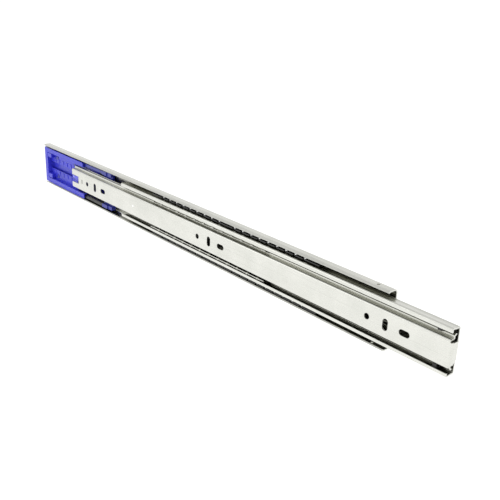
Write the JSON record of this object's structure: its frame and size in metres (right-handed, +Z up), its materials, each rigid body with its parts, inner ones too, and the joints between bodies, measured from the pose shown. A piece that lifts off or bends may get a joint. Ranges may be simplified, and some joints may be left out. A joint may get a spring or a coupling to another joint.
{
  "type": "cabinet drawer slide",
  "caption": "Full extension ball bearing drawer slide with a cabinet, an intermediate and a drawer member and a blue soft close unit at the rear.",
  "frame": {"origin": "front screw plane: on the cabinet face of the cabinet member, at its front end and half its height", "axes": "+X the way the drawer opens, +Y into the cabinet side, +Z up"},
  "size_m": [0.554, 0.0127, 0.0454],
  "materials": {
    "zinc_steel": "bright zinc plated sheet steel",
    "bright_steel": "polished bearing steel",
    "blue_plastic": "moulded, satin",
    "dark_blue_plastic": "moulded, satin",
    "light_blue_plastic": "moulded, satin",
    "black_plastic": "moulded, fine grain",
    "spring_steel": "oiled spring wire"
  },
  "bodies": {
    "cabinet": {"cabinet_member": "zinc_steel", "damper_housing": "blue_plastic", "housing_rivets": "dark_blue_plastic", "rear_bumpers": "dark_blue_plastic", "spring_anchor_pin": "bright_steel", "damper_rod": "bright_steel", "damper_piston": "black_plastic", "closing_spring": "spring_steel"},
    "carriage": {"latch_carriage": "dark_blue_plastic", "pawl_pin": "bright_steel", "damper_cylinder": "black_plastic", "damper_cap": "black_plastic"},
    "pawl": {"latch_pawl": "light_blue_plastic"},
    "outer_cages": {"outer_cage_upper": "black_plastic", "outer_cage_lower": "black_plastic", "outer_balls_upper": "bright_steel", "outer_balls_lower": "bright_steel"},
    "intermediate": {"intermediate_member": "zinc_steel", "cage_buffers": "black_plastic"},
    "inner_bearing": {"inner_cage": "zinc_steel", "inner_balls_upper": "bright_steel", "inner_balls_lower": "bright_steel"},
    "drawer": {"drawer_member": "zinc_steel", "lever_rivet": "bright_steel", "lever_washer": "bright_steel"},
    "lever": {"release_lever": "black_plastic"}
  },
  "joints": [
    {"name": "soft_close_slide", "type": "slide", "parent": "cabinet", "child": "carriage", "axis": [1, 0, 0], "range_m": [-0.054, 0], "deforming": ["closing_spring"]},
    {"name": "pawl_hinge", "type": "hinge", "parent": "carriage", "child": "pawl", "pos_m": [-0.434, -0.0062, 0], "axis": [0, 0, -1], "range_deg": [0, 9]},
    {"name": "intermediate_slide", "type": "slide", "parent": "carriage", "child": "intermediate", "axis": [1, 0, 0], "range_m": [0, 0.118]},
    {"name": "outer_cage_slide", "type": "slide", "parent": "cabinet", "child": "outer_cages", "axis": [1, 0, 0], "range_m": [0, 0.059]},
    {"name": "drawer_slide", "type": "slide", "parent": "intermediate", "child": "drawer", "axis": [1, 0, 0], "range_m": [0, 0.32]},
    {"name": "inner_cage_slide", "type": "slide", "parent": "intermediate", "child": "inner_bearing", "axis": [1, 0, 0], "range_m": [0, 0.16]},
    {"name": "lever_hinge", "type": "hinge", "parent": "drawer", "child": "lever", "pos_m": [-0.309, -0.0092, 0], "axis": [0, 1, 0], "range_deg": [-8, 8]}
  ],
  "couplings": [
    {"joint": "outer_cage_slide", "follows": "intermediate_slide", "ratio": 0.5},
    {"joint": "inner_cage_slide", "follows": "drawer_slide", "ratio": 0.5}
  ]
}
